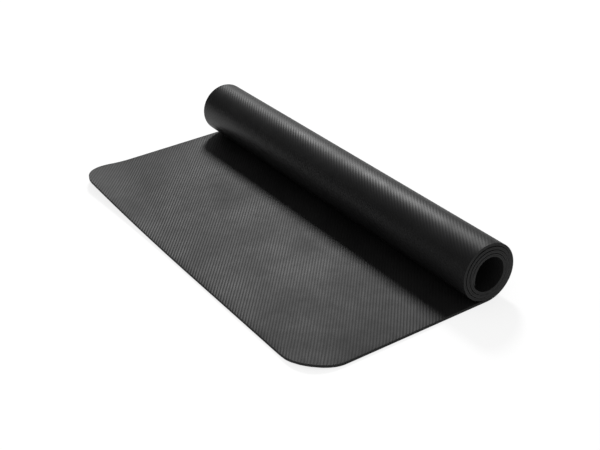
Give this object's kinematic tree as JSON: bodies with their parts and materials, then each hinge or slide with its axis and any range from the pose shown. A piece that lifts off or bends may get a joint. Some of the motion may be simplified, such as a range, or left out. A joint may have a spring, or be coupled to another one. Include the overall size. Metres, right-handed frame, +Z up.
{
  "type": "chair mat",
  "caption": "Ribbed rubber floor mat with rounded corners, one end lying flat and the other wound into a roll.",
  "frame": {"origin": "on the floor, under the middle of the mat's bounding box", "axes": "+X along the roll's axis, +Y from the free edge to the roll, +Z up"},
  "size_m": [0.75, 0.3544, 0.0949],
  "materials": {
    "base_rubber": "matt near-black rubber with fine diagonal ribs and a soft sheen along their crests",
    "top_rubber": "matt near-black rubber with fine diagonal ribs, a little greyer where it faces up"
  },
  "bodies": {
    "root": {"base_layer": "base_rubber", "top_layer": "top_rubber"}
  },
  "joints": []
}
